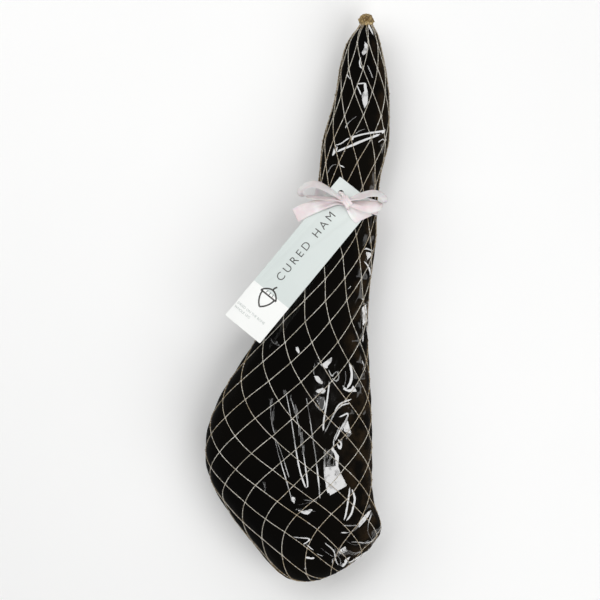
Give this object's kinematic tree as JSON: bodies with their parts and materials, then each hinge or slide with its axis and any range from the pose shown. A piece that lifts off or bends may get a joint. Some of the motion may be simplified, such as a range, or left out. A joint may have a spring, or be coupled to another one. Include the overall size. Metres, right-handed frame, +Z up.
{
  "type": "cured ham",
  "caption": "Whole leg of cured ham lying on its side, sleeved in gloss film and a diamond string net gathered at both ends, with a ribbon bow holding a long card tag on the shank.",
  "frame": {"origin": "on the ground, at the middle of the whole object's footprint", "axes": "+Y from the butt to the hoof, +X across the leg, +Z up off the ground"},
  "size_m": [0.2596, 0.8002, 0.1283],
  "materials": {
    "rind": "dry cured rind and fat",
    "film": "high gloss, creased",
    "string": "twisted cotton, matte",
    "card": "smooth coated card",
    "satin": "satin sheen"
  },
  "bodies": {
    "root": {"ham_leg": "rind", "film_sleeve": "film", "string_net": "string", "top_tie": "string", "butt_tie": "string", "hang_tag": "card", "ribbon": "satin"}
  },
  "joints": []
}
